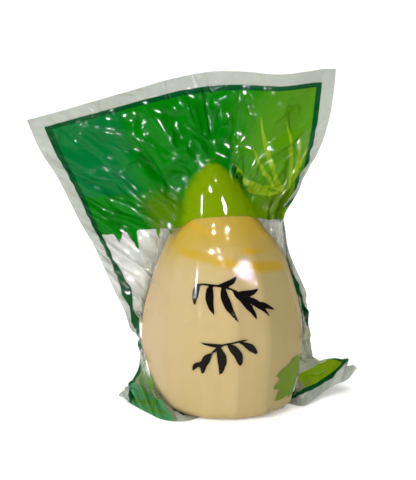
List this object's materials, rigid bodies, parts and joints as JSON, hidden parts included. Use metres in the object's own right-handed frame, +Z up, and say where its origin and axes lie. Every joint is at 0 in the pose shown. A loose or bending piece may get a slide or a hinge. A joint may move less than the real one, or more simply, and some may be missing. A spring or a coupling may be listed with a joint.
{
  "type": "vacuum-packed bamboo shoot",
  "caption": "Peeled, boiled bamboo shoot standing on its cut base, shrunk tight inside a clear printed film pouch with flared edges.",
  "frame": {"origin": "the underside of the film, below the middle of the shoot's cut base", "axes": "+Z up along the shoot; -Y is the printed front of the pouch; +X is to the right as the front is seen"},
  "size_m": [0.1796, 0.0781, 0.1832],
  "materials": {
    "shoot": "peeled, boiled bamboo shoot: pale cream flesh with yellow bands near the top, moist and waxy",
    "film": "clear glossy laminate film, printed green over the top part and round the edges"
  },
  "bodies": {
    "root": {"shoot": "shoot", "front_film": "film", "back_film": "film"}
  },
  "joints": []
}
